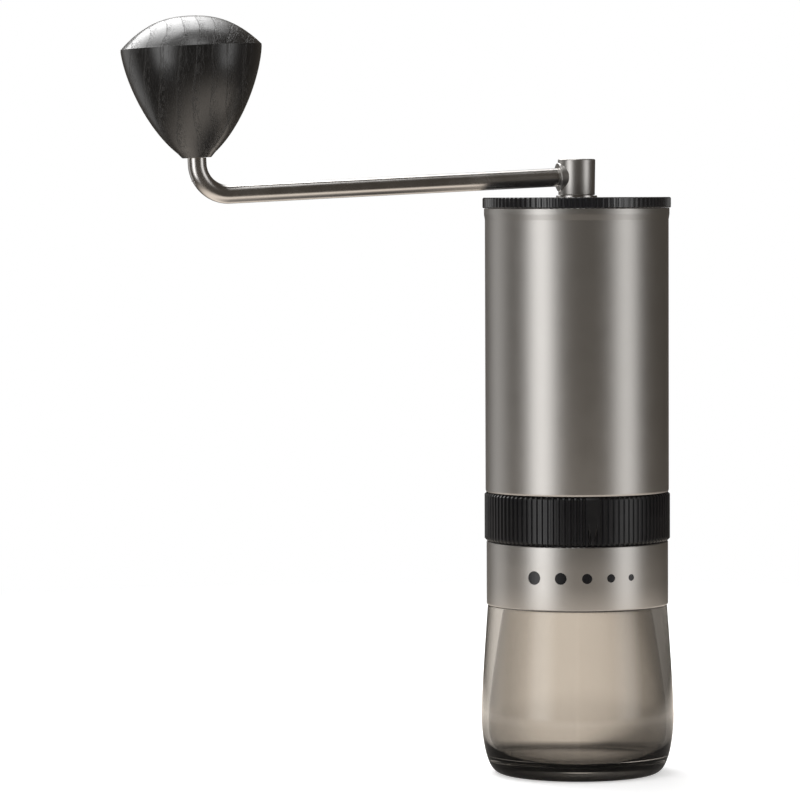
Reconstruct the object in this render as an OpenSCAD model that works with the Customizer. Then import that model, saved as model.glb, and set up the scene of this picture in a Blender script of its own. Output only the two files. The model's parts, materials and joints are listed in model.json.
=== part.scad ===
// Hand crank coffee grinder: steel body, adjusting ring, glass jar, lid, crank and knob, with its burr works.
// Millimetres, +Z up. The origin is the centre of the foot pad's underside, on the grinder's axis.
// The five scale dots face -Y. At rest the crank points to -X, turned a little towards -Y.

/* [Stack heights] */
// Height of the jar below the base ring
jar_h = 48; // [44:1:54]
// Height of the steel base ring
base_h = 18.1; // [17.6:0.1:19]
// Height of the adjust ring
ring_h = 13.6; // [13.4:0.1:14]
// Height of the body tube
body_h = 80.2; // [78:0.2:90]
// Thickness of the lid's rim
lid_h = 3; // [2.6:0.1:3.4]
// Gap between rings that turn against each other
part_gap = 0.2; // [0.1:0.05:0.3]

/* [Radii] */
// Outer radius of the body tube
body_r = 26; // [25.8:0.1:26.2]
// Outer radius of the base ring
base_r = 25.75; // [25.6:0.05:26]
// Outer radius of the adjust ring over its ribs
ring_r = 26.3; // [26.1:0.1:26.8]
// Outer radius of the lid over its teeth
lid_r = 26.65; // [26.4:0.05:27]
// Largest radius of the jar
belly_r = 27.35; // [27:0.05:28]

/* [Adjust ring] */
// Ribs around the adjust ring
rib_count = 100; // [80:20:120]
// Turn of the pointer from the front, towards +X
pointer_angle = 7.2; // [-7.2:3.6:14.4]
// Rise of the carrier pins in one turn of the ring
cam_lead = 3; // [2:0.5:4]

/* [Scale dots] */
// Diameter of the largest dot, at the coarse end
dot_first_d = 3.8; // [3:0.1:4]
// Diameter of the smallest dot, at the fine end
dot_last_d = 1.9; // [1.5:0.1:2.5]
// Space between neighbouring dots along the ring
dot_gap = 4.3; // [3.5:0.1:4.6]

/* [Crank] */
// Distance along the rod from the grinder's axis to the knob's axis
crank_reach = 109; // [90:1:120]
// Turn of the crank from -X towards -Y at rest
crank_turn = 14; // [0:1:45]
// Downward slope of the rod, in degrees
crank_droop = 2.7; // [1:0.1:3]
// Radius of the rod
rod_r = 2.6; // [2.4:0.1:2.7]
// Bend radius of the rod's elbow, at its middle line
bend_r = 8.7; // [7:0.1:9]
// Radius of the hub
hub_r = 5.3; // [5.1:0.1:6]

/* [Knob] */
// Radius of the knob at its rim
knob_r = 19.55; // [18:0.05:21]
// Height from the knob's underside to its rim
knob_cone_h = 30.6; // [28:0.1:31]
// Height of the dome above the rim
knob_dome_h = 8.6; // [7:0.1:10]

/* [Hidden] */
$fn = 96;
eps = 0.01;
fit = 0.05; // radial clearance of a running fit

// Levels of the visible stack, from the foot up
base_z = jar_h + 0.1;
base_top = base_z + base_h;
ring_z = base_top + part_gap;
ring_top = ring_z + ring_h;
body_z = ring_top + part_gap;
body_top = body_z + body_h;
lid_z = body_top + 0.05;
lid_top = lid_z + lid_h;

// Body tube and the frame inside it
tube_bore_r = 24;
hopper_r = 23.4;
edge = 0.5;
lip_out = 0.25;
lip_h = 2;
flange_h = 4;
flange_top = body_z + flange_h;
sleeve_r = 21.9;
sleeve_bore_r = 20.6;
web_h = 4.2;
web_z = base_top - web_h;
lock_ring_h = 3;
lock_ring_r = 23.5;
lock_slot_w = 2;
lock_slot_depth = 0.7;
lock_slot_h = 1.2;
sleeve_z = web_z - lock_ring_h;
socket_r = 23.75;
frame_screw_r = 1;
frame_screw_pos = 21.85;
frame_screw_head_r = 1.5;
frame_screw_start = 30;

// Bearings of 8 x 16 x 5 mm
shaft_r = 4;
bearing_r = 8;
bearing_h = 5;
ball_r = 1.2;
ball_path_r = 6;
ball_count = 9;
race_gap = 0.9;

// Bearing bridges
bridge_hub_r = 10.2;
bridge_hub_h = 7;
bridge_rim_h = 4;
bridge_rim_r = 19;
spoke_w = 4.5;
lower_z = flange_top;
hopper_mouth_h = 16;
upper_top = lid_z - hopper_mouth_h;
retainer_h = 1.2;
retainer_r = 24.6;

// Burr carrier and burrs
carrier_top = body_z - 0.8;
carrier_h = 17.9;
carrier_z = carrier_top - carrier_h;
carrier_r = sleeve_bore_r - fit;
carrier_web_h = 4.4;
throat_r = 15.5;
outer_burr_r = 19;
outer_burr_h = carrier_h - carrier_web_h;
burr_gap = 0.35;
burr_z = carrier_z - 0.5;
burr_h = 18.7;
burr_base_r = 16.3;
burr_waist_r = 13;
burr_waist_h = 7.5;
burr_top_r = 7.6;
burr_slope = atan((burr_base_r - burr_waist_r) / burr_waist_h);
burr_screw_pos = 17.4;
burr_screw_r = 1;
burr_screw_seat = 1.7;
burr_screw_bite = 3.5;
pin_r = 1.2;
pin_z = carrier_top - 2.2;
pin_angles = [90, 210, 330];

// Adjust ring
rib_pitch = 360 / rib_count;
rib_depth = 0.5;
ring_edge = 0.6;
groove_slack = 0.06;
groove_share = 0.45;
groove_w = groove_share * rib_pitch * PI / 180 * ring_r;
ring_bore_r = sleeve_r + fit;
coarse_stop = 36;
fine_stop = 28.8;
cam_depth_r = 23.5;
mm_per_degree = cam_lead / 360;
pin_low = pin_z - pin_r - mm_per_degree * fine_stop;
pin_high = pin_z + pin_r + mm_per_degree * coarse_stop;
detent_pitch = 3.6;
detent_r = 0.9;
detent_pos = 22.9;
detent_well = 3.4;
detent_angle = 90;
detent_z = ring_top + 0.65;
pointer_shoulder_z = ring_z + 0.46 * ring_h;

// Scale dots
dot_count = 5;
dot_start = -13.6;
dot_depth = 0.5;
dot_z = base_z + 9.3;

// Jar
foot_r = 20.3;
foot_z = 0.2;
pad_h = 1.2;
belly_z = 16.6;
shoulder_r = 25.4;
belly_bore_r = belly_r - 2.1;
floor_z = 3.6;
floor_r = 17;
neck_r = 23.4;
neck_bore_r = 20.9;
neck_blend_h = 1.4;
neck_top = sleeve_z - 0.6;
jar_seal_z = base_z + 5.4;
jar_seal_h = 1.6;
jar_seal_wire_r = 0.75;
curve_steps = 14;

// Shaft, hub and lid
shaft_z = burr_z - 5.6;
thread_r = 3;
nut_af = 10;
nut_h = 3.2;
washer_h = 1.4;
circlip_h = 0.8;
circlip_depth = 0.4;
hex_af = 5.9;
hex_fit = 0.1;
hex_z = upper_top + 1.6;
hex_top = lid_z + 1.8;
neck_z = upper_top + 5.6;
hub_neck_r = 4.6;
hub_z = lid_top + 0.6;
hub_h = 10.2;
hub_top = hub_z + hub_h;
cap_h = 1.5;
cap_z = hub_top - cap_h;
cap_spigot_r = 3;
cap_spigot_h = 0.5;
rod_z = hub_z + 5.3;
rod_start = -3;
set_screw_r = 2;
bush_r = 5.4;
bush_z = lid_z - 4.5;
clip_h = 0.6;
clip_z = bush_z - clip_h - 0.15;
clip_r = 6.2;
clip_groove_depth = 0.4;
spigot_r = 23.7;
spigot_bore_r = 21.5;
spigot_h = 6;
lid_seal_z = lid_z - 3;
lid_groove_depth = 0.35;
lid_groove_w = 0.7;
lid_seal_groove_h = 1.4;
lid_edge = 0.4;
lid_seal_wire_r = 0.62;

// Knob, measured along the rod's upright end from the rod's middle line
knob_base = 10.53;
knob_rim = knob_base + knob_cone_h;
knob_closing = 1.0458; // share of the cone's height at which its curve would close
knob_span = knob_closing * knob_cone_h;
knob_foot_r = 3.8;
knob_foot_h = 1.4;
knob_bore_r = 3.3;
knob_bore_end = 37;
axle_r = 1.8;
axle_head_r = 2.8;
axle_start = 4;
axle_shoulder = 34.3;
axle_end = 36;
stem_end = 10.2;

// ---- functions ----

function hex_r(af) = af / 2 / cos(30);

function dot_d(i) = dot_first_d + (dot_last_d - dot_first_d) * i / (dot_count - 1);

function dot_arc(i) = i == 0 ? dot_start : dot_arc(i - 1) + dot_d(i - 1) / 2 + dot_gap + dot_d(i) / 2;

function dot_angle(i) = dot_arc(i) / base_r * 180 / PI;

// Outer radius of the jar at height z: a full round foot below the belly and a gentle taper above it
function jar_outer(z) =
    z < belly_z
        ? foot_r + (belly_r - foot_r) * pow(1 - pow(1 - z / belly_z, 1.7), 0.3)
        : belly_r - (belly_r - shoulder_r) * pow((z - belly_z) / (jar_h - belly_z), 1.25);

// Inner radius of the jar: a full round bowl up to the belly, then a taper that runs into the neck's bore
function jar_inner(z) =
    z < belly_z
        ? floor_r + (belly_bore_r - floor_r) * pow(1 - pow(1 - (z - floor_z) / (belly_z - floor_z), 3), 1 / 3)
        : belly_bore_r - (belly_bore_r - neck_bore_r) * pow((z - belly_z) / (jar_h - belly_z), 1.25);

// Radius of the knob's cone at a depth below the rim
function knob_cone(depth) = knob_r * pow(1 - pow(depth / knob_span, 1.5), 0.64);

// Height of the knob's dome above the rim at radius r
function knob_dome(r) = knob_dome_h * (1 - pow(r / knob_r, 2.4));

function spaced(low, high, steps) = [for (i = [0:steps]) low + (high - low) * i / steps];

// Heights that crowd towards the low end, for a curve that starts flat
function eased(low, high, steps) = [for (i = [0:steps]) low + (high - low) * pow(i / steps, 2)];

// ---- shared shapes ----

module tube(outer_r, inner_r, h) {
    difference() {
        cylinder(r = outer_r, h = h);
        translate([0, 0, -1])
            cylinder(r = inner_r, h = h + 2);
    }
}

module torus(path_r, wire_r) {
    rotate_extrude()
        translate([path_r, 0])
            circle(r = wire_r, $fn = 32);
}

// Ring whose outer edges are chamfered, between two heights
module edged_ring(outer_r, inner_r, h, chamfer) {
    rotate_extrude()
        polygon([
            [inner_r, 0],
            [outer_r - chamfer, 0],
            [outer_r, chamfer],
            [outer_r, h - chamfer],
            [outer_r - chamfer, h],
            [inner_r, h],
        ]);
}

// Socket head screw, head resting on z = 0 and shank below it
module cap_screw(shank_r, length, head_r, head_h) {
    difference() {
        union() {
            cylinder(r = head_r, h = head_h);
            translate([0, 0, -length])
                cylinder(r = shank_r, h = length + eps);
        }
        translate([0, 0, head_h * 0.4])
            cylinder(r = head_r * 0.5, h = head_h, $fn = 6);
    }
}

// Coil spring of round wire standing on z = 0
module coil_spring(path_r, wire_r, h, turns, steps, sides) {
    last = turns * steps;
    rise = (h - 2 * wire_r) / last;
    points = [
        for (i = [0:last], k = [0:sides - 1])
            let (r = path_r + wire_r * cos(360 * k / sides), a = 360 * i / steps)
                [r * cos(a), r * sin(a), wire_r + rise * i + wire_r * sin(360 * k / sides)]
    ];
    walls = [
        for (i = [0:last - 1], k = [0:sides - 1])
            let (a = i * sides + k, b = i * sides + (k + 1) % sides)
                each [[a, a + sides, b], [b, a + sides, b + sides]]
    ];
    ends = [
        [for (k = [0:sides - 1]) k],
        [for (k = [sides - 1:-1:0]) last * sides + k],
    ];
    polyhedron(points = points, faces = concat(walls, ends));
}

// Deep groove bearing parts, standing on z = 0
module outer_race() {
    difference() {
        tube(bearing_r, ball_path_r + race_gap, bearing_h);
        translate([0, 0, bearing_h / 2])
            torus(ball_path_r, ball_r + fit);
    }
}

module inner_race() {
    difference() {
        tube(ball_path_r - race_gap, shaft_r, bearing_h);
        translate([0, 0, bearing_h / 2])
            torus(ball_path_r, ball_r + fit);
    }
}

module balls() {
    for (i = [0:ball_count - 1])
        rotate([0, 0, i * 360 / ball_count])
            translate([ball_path_r, 0, bearing_h / 2])
                sphere(r = ball_r);
}

// Three-spoke bearing bridge with its bearing pocket open below
module bridge() {
    difference() {
        union() {
            tube(tube_bore_r, bridge_rim_r, bridge_rim_h);
            cylinder(r = bridge_hub_r, h = bridge_hub_h);
            for (i = [0:2])
                rotate([0, 0, 90 + i * 120])
                    translate([bridge_hub_r - 1.5, -spoke_w / 2, 0])
                        cube([bridge_rim_r - bridge_hub_r + 2.5, spoke_w, bridge_rim_h]);
        }
        translate([0, 0, -1])
            cylinder(r = bearing_r, h = bearing_h + 1);
        cylinder(r = shaft_r + 1.5, h = bridge_hub_h + 1);
    }
}

module at_frame_screws() {
    for (i = [0:2])
        rotate([0, 0, frame_screw_start + i * 120])
            translate([frame_screw_pos, 0, 0])
                children();
}

module at_burr_screws() {
    for (i = [0:2])
        rotate([0, 0, 30 + i * 120])
            translate([burr_screw_pos, 0, 0])
                children();
}

// Direction of the crank at rest: local +X runs outwards
module along_crank() {
    rotate([0, 0, 180 + crank_turn])
        children();
}

// Frame of the rod: local +X along the rod, local +Z along the knob's axis
module along_rod() {
    along_crank()
        translate([0, 0, rod_z])
            rotate([0, crank_droop, 0])
                children();
}

module at_knob() {
    along_rod()
        translate([crank_reach, 0, 0])
            children();
}

// ---- jar ----

module jar() {
    outside = [for (z = eased(foot_z, belly_z, curve_steps)) [jar_outer(z), z]];
    taper = [for (z = spaced(belly_z + 2, jar_h, 8)) [jar_outer(z), z]];
    neck = [[neck_r, jar_h], [neck_r, neck_top], [neck_bore_r, neck_top], [neck_bore_r, jar_h]];
    inside = [for (z = spaced(jar_h - neck_blend_h, belly_z + 2, 8)) [jar_inner(z), z]];
    bowl = [for (z = eased(floor_z, belly_z, curve_steps)) [jar_inner(z), z]];
    bowl_down = [for (i = [curve_steps:-1:0]) bowl[i]];
    base = [[0, floor_z], [0, pad_h], [foot_r, pad_h], [foot_r, foot_z]];
    color([0.55, 0.47, 0.4, 0.6])
        difference() {
            rotate_extrude()
                polygon(concat(outside, taper, neck, inside, bowl_down, base));
            translate([0, 0, jar_seal_z])
                tube(neck_r + 1, neck_r - 1.2, jar_seal_h);
        }
}

module jar_seal() {
    color([0.1, 0.1, 0.1])
        translate([0, 0, jar_seal_z + jar_seal_h / 2])
            torus(neck_r + 0.3 - jar_seal_wire_r, jar_seal_wire_r);
}

module foot_pad() {
    color([0.08, 0.08, 0.08])
        rotate_extrude()
            polygon([[0, 0], [foot_r - 0.2, 0], [foot_r, 0.2], [foot_r, pad_h], [0, pad_h]]);
}

// ---- base ring and scale ----

module dot_cutters() {
    for (i = [0:dot_count - 1])
        rotate([0, 0, dot_angle(i)])
            translate([0, dot_depth - base_r, dot_z])
                rotate([90, 0, 0])
                    cylinder(d = dot_d(i), h = 2);
}

module base_ring() {
    color([0.72, 0.7, 0.68])
        difference() {
            translate([0, 0, base_z])
                edged_ring(base_r, sleeve_r, base_h, edge);
            translate([0, 0, base_z - 1])
                cylinder(r = socket_r, h = web_z - base_z + 1);
            dot_cutters();
        }
}

module scale_dots() {
    color([0.06, 0.06, 0.06])
        intersection() {
            dot_cutters();
            cylinder(r = base_r, h = base_top, $fn = 480);
        }
}

module base_lock_ring() {
    color([0.5, 0.5, 0.52])
        difference() {
            translate([0, 0, sleeve_z])
                tube(lock_ring_r, sleeve_r, lock_ring_h);
            for (i = [0:3])
                rotate([0, 0, i * 90])
                    translate([lock_ring_r - lock_slot_depth, -lock_slot_w / 2, sleeve_z - 1])
                        cube([2, lock_slot_w, lock_slot_h + 1]);
        }
}

// ---- adjust ring ----

module rib_cutter(low, high) {
    translate([ring_r - rib_depth, -groove_w / 2, low])
        cube([rib_depth + 1, groove_w, high - low]);
}

module ribs_cut_away() {
    for (i = [1:rib_count - 2])
        rotate([0, 0, pointer_angle - 90 + (i + 0.5) * rib_pitch])
            rib_cutter(ring_z - 1, ring_top + 1);
}

// The two grooves beside the pointer: each starts at its outer side halfway down and widens to the bottom
module pointer_cut_away() {
    middle = ring_r * sin(rib_pitch / 2);
    near = middle - groove_w / 2;
    far = middle + groove_w / 2;
    for (side = [-1, 1])
        rotate([0, 0, pointer_angle])
            translate([0, rib_depth - ring_r, 0])
                rotate([90, 0, 0])
                    linear_extrude(2)
                        polygon([
                            [side * far, pointer_shoulder_z],
                            [side * far, ring_z - 1],
                            [side * near, ring_z - 1],
                            [side * near, ring_z + ring_edge],
                        ]);
}

// Groove that the carrier pins ride in, tall enough for their whole travel
module pin_groove() {
    translate([0, 0, pin_low - groove_slack])
        tube(cam_depth_r, ring_bore_r - 1, pin_high - pin_low + 2 * groove_slack);
}

module detent_track() {
    clicks = round((coarse_stop + fine_stop) / detent_pitch);
    translate([0, 0, ring_top - 0.3])
        tube(detent_pos + 0.9, detent_pos - 0.9, 1);
    for (i = [0:clicks])
        rotate([0, 0, detent_angle - fine_stop + i * detent_pitch])
            translate([detent_pos, 0, ring_top + 0.4])
                sphere(r = detent_r + fit);
}

module adjust_ring() {
    color([0.1, 0.1, 0.11])
        difference() {
            translate([0, 0, ring_z])
                edged_ring(ring_r, ring_bore_r, ring_h, ring_edge);
            ribs_cut_away();
            pointer_cut_away();
            pin_groove();
            detent_track();
        }
}

module detent_ball() {
    color([0.8, 0.8, 0.82])
        rotate([0, 0, detent_angle])
            translate([detent_pos, 0, detent_z])
                sphere(r = detent_r);
}

module detent_spring() {
    color([0.7, 0.7, 0.72])
        rotate([0, 0, detent_angle])
            translate([detent_pos, 0, detent_z + detent_r + 0.02])
                coil_spring(0.6, 0.15, 1.7, 4, 12, 6);
}

// ---- frame, tube and bridges ----

module inner_frame() {
    color([0.6, 0.6, 0.62])
        difference() {
            union() {
                translate([0, 0, sleeve_z])
                    cylinder(r = sleeve_r, h = body_z - sleeve_z + eps);
                translate([0, 0, body_z])
                    cylinder(r = tube_bore_r, h = flange_h);
            }
            translate([0, 0, sleeve_z - 1])
                cylinder(r = sleeve_bore_r, h = flange_top - sleeve_z + 2);
            for (a = pin_angles)
                rotate([0, 0, a])
                    translate([sleeve_bore_r - 1, -pin_r - fit, pin_low - groove_slack])
                        cube([3, 2 * (pin_r + fit), pin_high - pin_low + 2 * groove_slack]);
            at_frame_screws()
                translate([0, 0, body_z - 1])
                    cylinder(r = frame_screw_r, h = flange_h + 2);
            rotate([0, 0, detent_angle])
                translate([detent_pos, 0, body_z - 1])
                    cylinder(r = detent_r + fit, h = detent_well + 1);
        }
}

module frame_screws() {
    color([0.55, 0.55, 0.58])
        at_frame_screws()
            translate([0, 0, lower_z + bridge_rim_h])
                cap_screw(frame_screw_r, bridge_rim_h + flange_h - 0.5, frame_screw_head_r, 1.6);
}

module body_tube() {
    lip_z = body_top - lip_h;
    color([0.7, 0.68, 0.66])
        difference() {
            rotate_extrude()
                polygon([
                    [hopper_r, body_z],
                    [body_r - edge, body_z],
                    [body_r, body_z + edge],
                    [body_r, lip_z - lip_out],
                    [body_r + lip_out, lip_z + lip_out],
                    [body_r + lip_out, body_top - 0.3],
                    [body_r + lip_out - 0.3, body_top],
                    [hopper_r, body_top],
                ]);
            translate([0, 0, body_z - 1])
                cylinder(r = tube_bore_r, h = flange_h + bridge_rim_h + 1);
            translate([0, 0, upper_top - bridge_rim_h])
                cylinder(r = tube_bore_r, h = body_top - upper_top + bridge_rim_h + 1);
            translate([0, 0, upper_top])
                cylinder(r = retainer_r, h = retainer_h);
        }
}

module lower_bridge() {
    color([0.65, 0.65, 0.67])
        difference() {
            translate([0, 0, lower_z])
                bridge();
            at_frame_screws()
                translate([0, 0, lower_z - 1])
                    cylinder(r = frame_screw_r, h = bridge_rim_h + 2);
        }
}

module upper_bridge() {
    color([0.65, 0.65, 0.67])
        translate([0, 0, upper_top])
            mirror([0, 0, 1])
                bridge();
}

module bridge_retaining_ring() {
    color([0.35, 0.35, 0.37])
        translate([0, 0, upper_top])
            difference() {
                tube(retainer_r, 22.6, retainer_h);
                translate([-2.5, 20, -1])
                    cube([5, 6, retainer_h + 2]);
            }
}

module lower_outer_race() {
    color([0.8, 0.8, 0.82])
        translate([0, 0, lower_z])
            outer_race();
}

module lower_inner_race() {
    color([0.8, 0.8, 0.82])
        translate([0, 0, lower_z])
            inner_race();
}

module lower_balls() {
    color([0.9, 0.9, 0.92])
        translate([0, 0, lower_z])
            balls();
}

module upper_outer_race() {
    color([0.8, 0.8, 0.82])
        translate([0, 0, upper_top - bearing_h])
            outer_race();
}

module upper_inner_race() {
    color([0.8, 0.8, 0.82])
        translate([0, 0, upper_top - bearing_h])
            inner_race();
}

module upper_balls() {
    color([0.9, 0.9, 0.92])
        translate([0, 0, upper_top - bearing_h])
            balls();
}

// ---- burrs ----

module burr_carrier() {
    color([0.68, 0.66, 0.62])
        difference() {
            translate([0, 0, carrier_z])
                tube(carrier_r, throat_r, carrier_h);
            translate([0, 0, carrier_z - 1])
                cylinder(r = outer_burr_r, h = outer_burr_h + 1);
            for (a = pin_angles)
                rotate([0, 0, a])
                    translate([throat_r + 1.5, 0, pin_z])
                        rotate([0, 90, 0])
                            cylinder(r = pin_r, h = 10);
            at_burr_screws() {
                translate([0, 0, carrier_z])
                    cylinder(r = burr_screw_r, h = carrier_h);
                translate([0, 0, carrier_top - burr_screw_seat])
                    cylinder(r = 1.8, h = 3);
            }
        }
}

module carrier_pins() {
    color([0.8, 0.8, 0.82])
        for (a = pin_angles)
            rotate([0, 0, a])
                translate([throat_r + 1.5, 0, pin_z])
                    rotate([0, 90, 0])
                        cylinder(r = pin_r, h = cam_depth_r - 0.2 - throat_r - 1.5);
}

module carrier_spring() {
    color([0.7, 0.7, 0.72])
        translate([0, 0, carrier_top])
            coil_spring(19.7, 0.5, flange_top - carrier_top, 3, 24, 8);
}

module outer_burr() {
    teeth = 36;
    flutes = 12;
    waist_r = burr_waist_r + burr_gap + 0.1;
    top = carrier_z + outer_burr_h;
    color([0.5, 0.5, 0.52])
        difference() {
            rotate_extrude()
                polygon([
                    [burr_base_r + burr_gap, carrier_z],
                    [outer_burr_r, carrier_z],
                    [outer_burr_r, top],
                    [throat_r, top],
                    [waist_r, carrier_z + burr_waist_h],
                ]);
            for (i = [0:teeth - 1])
                rotate([0, 0, i * 360 / teeth])
                    translate([(burr_base_r + waist_r) / 2 + 0.25, 0, carrier_z + 3])
                        rotate([-14, -burr_slope, 0])
                            rotate([0, 0, 45])
                                cube([0.9, 0.9, 12], center = true);
            for (i = [0:flutes - 1])
                rotate([0, 0, i * 360 / flutes])
                    translate([waist_r + 0.6, 0, top - 2])
                        rotate([-20, 12, 0])
                            cylinder(r = 1.6, h = 9, center = true);
            at_burr_screws()
                translate([0, 0, top - burr_screw_bite - 0.5])
                    cylinder(r = burr_screw_r, h = 5);
        }
}

module outer_burr_screws() {
    color([0.55, 0.55, 0.58])
        at_burr_screws()
            translate([0, 0, carrier_top - burr_screw_seat])
                cap_screw(burr_screw_r, carrier_web_h - burr_screw_seat + burr_screw_bite, 1.7, 1.6);
}

module inner_burr() {
    teeth = 30;
    flutes = 6;
    waist_z = burr_z + 0.5 + burr_waist_h;
    shoulder_z = burr_z + burr_h - 2.7;
    lean = atan((burr_waist_r - burr_top_r) / (shoulder_z - waist_z));
    color([0.5, 0.5, 0.52])
        difference() {
            rotate_extrude()
                polygon([
                    [shaft_r, burr_z],
                    [burr_base_r - 0.3, burr_z],
                    [burr_base_r, burr_z + 0.5],
                    [burr_waist_r, waist_z],
                    [burr_top_r, shoulder_z],
                    [6, burr_z + burr_h],
                    [shaft_r, burr_z + burr_h],
                ]);
            for (i = [0:teeth - 1])
                rotate([0, 0, i * 360 / teeth])
                    translate([(burr_base_r + burr_waist_r) / 2 + 0.1, 0, burr_z + 4.2])
                        rotate([14, -burr_slope, 0])
                            rotate([0, 0, 45])
                                cube([1.1, 1.1, 12], center = true);
            for (i = [0:flutes - 1])
                rotate([0, 0, i * 360 / flutes])
                    translate([(burr_waist_r + burr_top_r) / 2 + 1.4, 0, (waist_z + shoulder_z) / 2])
                        rotate([28, -lean, 0])
                            cylinder(r = 3, h = 20, center = true);
        }
}

module burr_washer() {
    color([0.75, 0.75, 0.77])
        translate([0, 0, burr_z - washer_h])
            tube(8, thread_r, washer_h);
}

module burr_nut() {
    color([0.75, 0.75, 0.77])
        translate([0, 0, burr_z - washer_h - nut_h])
            difference() {
                cylinder(r = hex_r(nut_af), h = nut_h, $fn = 6);
                translate([0, 0, -1])
                    cylinder(r = thread_r, h = nut_h + 2);
            }
}

// ---- shaft ----

module drive_shaft() {
    color([0.78, 0.78, 0.8])
        difference() {
            union() {
                translate([0, 0, shaft_z])
                    cylinder(r = thread_r, h = burr_z - shaft_z + eps);
                translate([0, 0, burr_z])
                    cylinder(r = shaft_r, h = hex_z - burr_z + eps);
                along_crank()
                    translate([0, 0, hex_z])
                        cylinder(r = hex_r(hex_af), h = hex_top - hex_z, $fn = 6);
            }
            translate([0, 0, upper_top])
                tube(shaft_r + 1, shaft_r - circlip_depth, circlip_h);
        }
}

module shaft_circlip() {
    color([0.35, 0.35, 0.37])
        translate([0, 0, upper_top])
            difference() {
                tube(6, shaft_r - circlip_depth, circlip_h);
                translate([0, -1.5, -1])
                    cube([8, 3, 3]);
            }
}

module shaft_spacer() {
    color([0.75, 0.75, 0.77])
        translate([0, 0, burr_z + burr_h])
            tube(5.1, shaft_r, lower_z - burr_z - burr_h);
}

// ---- lid ----

module lid() {
    boss_r = 8;
    color([0.12, 0.12, 0.13])
        difference() {
            union() {
                translate([0, 0, lid_z])
                    edged_ring(lid_r, bush_r, lid_h, lid_edge);
                translate([0, 0, lid_z - spigot_h])
                    tube(spigot_r, spigot_bore_r, spigot_h + eps);
                translate([0, 0, bush_z])
                    tube(boss_r, bush_r, lid_z - bush_z + eps);
            }
            translate([0, 0, lid_seal_z - lid_seal_groove_h / 2])
                tube(spigot_r + 1, spigot_r - 1, lid_seal_groove_h);
            for (i = [0:rib_count - 1])
                rotate([0, 0, i * rib_pitch])
                    translate([lid_r - lid_groove_depth, -lid_groove_w / 2, lid_z - 1])
                        cube([1, lid_groove_w, lid_h + 2]);
        }
}

module lid_bush() {
    color([0.75, 0.75, 0.77])
        difference() {
            union() {
                translate([0, 0, bush_z])
                    cylinder(r = bush_r, h = lid_top - bush_z + eps);
                translate([0, 0, lid_top])
                    cylinder(r = bush_r + 0.4, h = 0.5);
            }
            translate([0, 0, bush_z - 1])
                cylinder(r = hub_neck_r + fit, h = lid_top - bush_z + 2);
        }
}

module lid_seal() {
    color([0.1, 0.1, 0.1])
        translate([0, 0, lid_seal_z])
            torus(tube_bore_r - fit - lid_seal_wire_r, lid_seal_wire_r);
}

module lid_clip() {
    color([0.35, 0.35, 0.37])
        translate([0, 0, clip_z])
            along_crank()
                difference() {
                    tube(clip_r, hub_neck_r - clip_groove_depth, clip_h);
                    translate([0, -1.5, -1])
                        cube([8, 3, 3]);
                }
}

// ---- crank ----

module crank_hub() {
    socket_top = hex_top + 0.4;
    color([0.72, 0.7, 0.68])
        difference() {
            union() {
                translate([0, 0, hub_z])
                    edged_ring(hub_r, 0, cap_z - hub_z, 0.2);
                translate([0, 0, neck_z])
                    cylinder(r = hub_neck_r, h = hub_z - neck_z + eps);
            }
            along_crank()
                translate([0, 0, neck_z - 1])
                    cylinder(r = hex_r(hex_af + hex_fit), h = socket_top - neck_z + 1, $fn = 6);
            translate([0, 0, socket_top - eps])
                cylinder(r = set_screw_r, h = rod_z - socket_top);
            along_rod()
                translate([rod_start, 0, 0])
                    rotate([0, 90, 0])
                        cylinder(r = rod_r, h = 20);
            translate([0, 0, clip_z])
                tube(hub_neck_r + 1, hub_neck_r - clip_groove_depth, clip_h);
            translate([0, 0, cap_z - cap_spigot_h])
                cylinder(r = cap_spigot_r, h = cap_spigot_h + 1);
        }
}

module hub_cap() {
    color([0.72, 0.7, 0.68])
        union() {
            translate([0, 0, cap_z])
                edged_ring(hub_r, 0, cap_h, 0.2);
            translate([0, 0, cap_z - cap_spigot_h])
                cylinder(r = cap_spigot_r, h = cap_spigot_h + eps);
        }
}

module hub_set_screw() {
    top = rod_z - rod_r - 0.2;
    color([0.4, 0.4, 0.42])
        difference() {
            translate([0, 0, hex_top + 0.5])
                cylinder(r = set_screw_r, h = top - hex_top - 0.5);
            translate([0, 0, hex_top])
                cylinder(r = 1.1, h = 2, $fn = 6);
        }
}

module crank_arm() {
    color([0.78, 0.76, 0.74])
        difference() {
            along_rod() {
                translate([rod_start, 0, 0])
                    rotate([0, 90, 0])
                        cylinder(r = rod_r, h = crank_reach - bend_r - rod_start);
                translate([crank_reach - bend_r, 0, bend_r])
                    rotate([90, 0, 0])
                        rotate([0, 0, -90])
                            rotate_extrude(angle = 90)
                                translate([bend_r, 0])
                                    circle(r = rod_r);
                translate([crank_reach, 0, bend_r])
                    cylinder(r = rod_r, h = stem_end - bend_r);
            }
            at_knob()
                translate([0, 0, axle_start])
                    cylinder(r = axle_r, h = 10);
        }
}

module knob_axle() {
    color([0.75, 0.75, 0.77])
        at_knob()
            difference() {
                union() {
                    translate([0, 0, axle_start])
                        cylinder(r = axle_r, h = axle_shoulder - axle_start + eps);
                    translate([0, 0, axle_shoulder])
                        cylinder(r = axle_head_r, h = axle_end - axle_shoulder);
                }
                translate([0, 0, axle_end - 0.8])
                    cylinder(r = 1.2, h = 2, $fn = 6);
            }
}

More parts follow.
